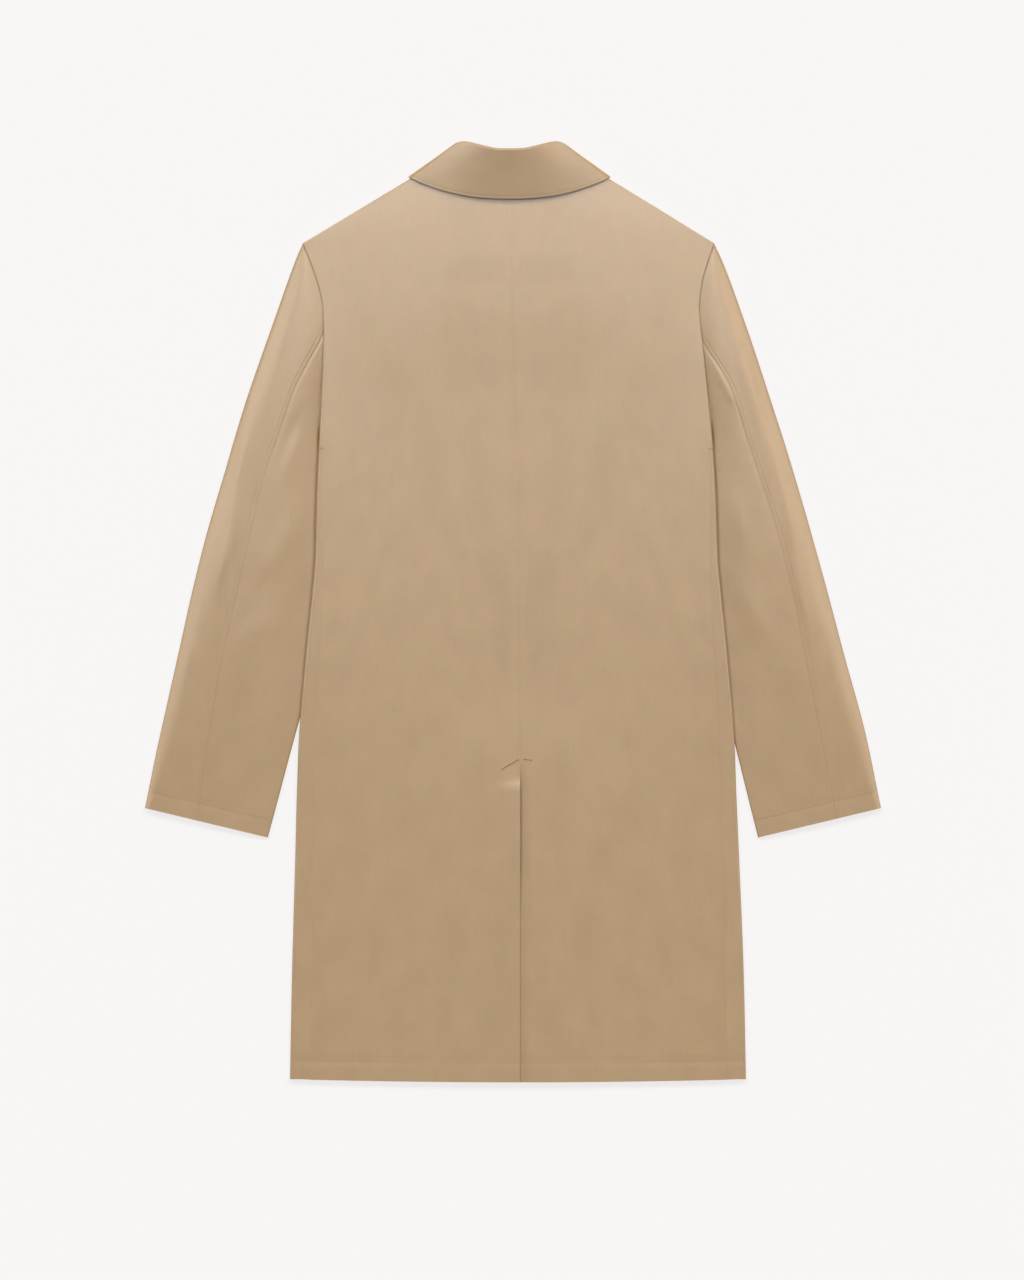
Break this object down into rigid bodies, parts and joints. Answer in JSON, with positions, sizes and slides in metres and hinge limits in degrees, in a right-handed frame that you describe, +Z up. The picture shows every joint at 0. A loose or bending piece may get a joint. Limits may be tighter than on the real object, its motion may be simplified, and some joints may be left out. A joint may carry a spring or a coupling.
{
  "type": "coat",
  "caption": "Knee-length gabardine coat laid flat with its back up, with a turn-down collar, set-in sleeves and a long centre back vent.",
  "frame": {"origin": "centre of the coat's outline, on the surface that it lies on", "axes": "+X to the right for someone who looks down at the back, +Y from the hem to the collar, +Z up from the surface"},
  "size_m": [0.8368, 1.0686, 0.0218],
  "materials": {
    "gabardine": "matte tan cotton gabardine with a fine steep twill"
  },
  "bodies": {
    "root": {"back_left": "gabardine", "back_right": "gabardine", "front_left": "gabardine", "front_right": "gabardine", "sleeve_left_upper": "gabardine", "sleeve_left_under": "gabardine", "sleeve_right_upper": "gabardine", "sleeve_right_under": "gabardine", "collar_fall": "gabardine", "collar_stand": "gabardine"}
  },
  "joints": []
}
